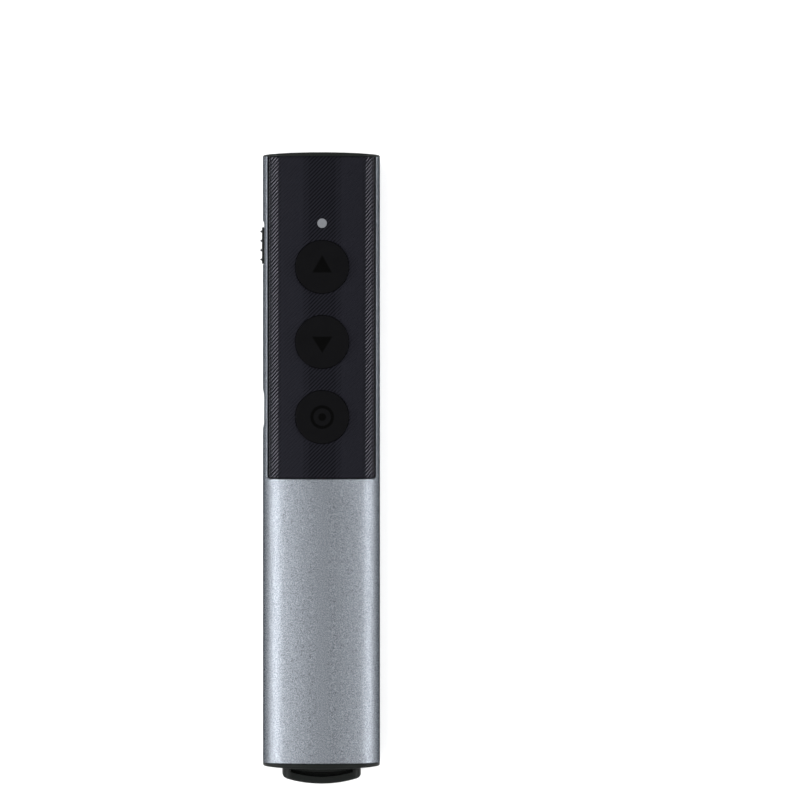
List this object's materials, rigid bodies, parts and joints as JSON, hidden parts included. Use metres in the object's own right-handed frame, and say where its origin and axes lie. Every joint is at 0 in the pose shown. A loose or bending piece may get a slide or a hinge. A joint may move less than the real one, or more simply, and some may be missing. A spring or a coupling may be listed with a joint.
{
  "type": "wireless presentation clicker",
  "caption": "Slim aluminium presentation clicker with a ribbed black key panel, round keys, laser nose, side power slider, charging port and a receiver stored in the tail.",
  "frame": {"origin": "on the flat back that it rests on, halfway along the tube and halfway across it", "axes": "+Z out of the key face, +Y along the tube towards the laser nose, +X to the right of the keys"},
  "size_m": [0.0281, 0.1479, 0.0131],
  "materials": {
    "anodised_aluminium": "bead blasted, anodised grey blue",
    "panel_black": "ribbed black moulding",
    "key_black": "soft matte black",
    "cap_black": "satin black moulding",
    "chassis_black": "black moulding",
    "clear_plastic": "clear moulded plastic",
    "window_red": "tinted clear plastic",
    "brass": "turned",
    "lens_glass": "polished",
    "steel": "plated steel",
    "wire_red": "insulated wire",
    "board_green": "solder mask",
    "chip_black": "moulded package",
    "ceramic": "ceramic body",
    "led_white": "lamp package",
    "foam": "foam tape",
    "cell_foil": "laminated foil",
    "connector_white": "nylon",
    "gold": "gold plate"
  },
  "bodies": {
    "housing": {"body_tube": "anodised_aluminium", "front_panel": "panel_black", "chassis": "chassis_black", "nose_cap": "cap_black", "laser_window": "window_red", "laser_barrel": "brass", "laser_lens": "lens_glass", "laser_diode": "steel", "laser_leads": "wire_red", "main_board": "board_green", "board_screws": "steel", "radio_chip": "chip_black", "crystal": "steel", "antenna": "ceramic", "charger_chip": "chip_black", "capacitors": "ceramic", "indicator_led": "led_white", "light_pipe": "clear_plastic", "up_switch": "chip_black", "down_switch": "chip_black", "laser_switch": "chip_black", "power_switch_case": "steel", "usb_socket_shell": "steel", "usb_socket_tongue": "chip_black", "cell_pad": "foam", "battery_cell": "cell_foil", "battery_header": "connector_white", "battery_plug": "connector_white", "battery_leads": "wire_red", "tail_cap": "cap_black", "receiver_bay": "chassis_black"},
    "up_key": {"up_key": "key_black", "up_plunger": "chip_black"},
    "down_key": {"down_key": "key_black", "down_plunger": "chip_black"},
    "laser_key": {"laser_key": "key_black", "laser_plunger": "chip_black"},
    "power_slider": {"power_knob": "cap_black", "power_lever": "chip_black"},
    "receiver": {"receiver_grip": "cap_black", "receiver_plug_shell": "steel", "receiver_tongue": "connector_white", "receiver_contacts": "gold", "receiver_board": "board_green", "receiver_chip": "chip_black"}
  },
  "joints": [
    {"name": "up_key_press", "type": "slide", "parent": "housing", "child": "up_key", "axis": [0, 0, -1], "range_m": [0, 0.0005], "stiffness_N_per_m": 1600},
    {"name": "down_key_press", "type": "slide", "parent": "housing", "child": "down_key", "axis": [0, 0, -1], "range_m": [0, 0.0005], "stiffness_N_per_m": 1600},
    {"name": "laser_key_press", "type": "slide", "parent": "housing", "child": "laser_key", "axis": [0, 0, -1], "range_m": [0, 0.0005], "stiffness_N_per_m": 1600},
    {"name": "power_slide", "type": "slide", "parent": "housing", "child": "power_slider", "axis": [0, 1, 0], "range_m": [0, 0.0013]},
    {"name": "receiver_pull", "type": "slide", "parent": "housing", "child": "receiver", "axis": [0, -1, 0], "range_m": [0, 0.02]}
  ]
}
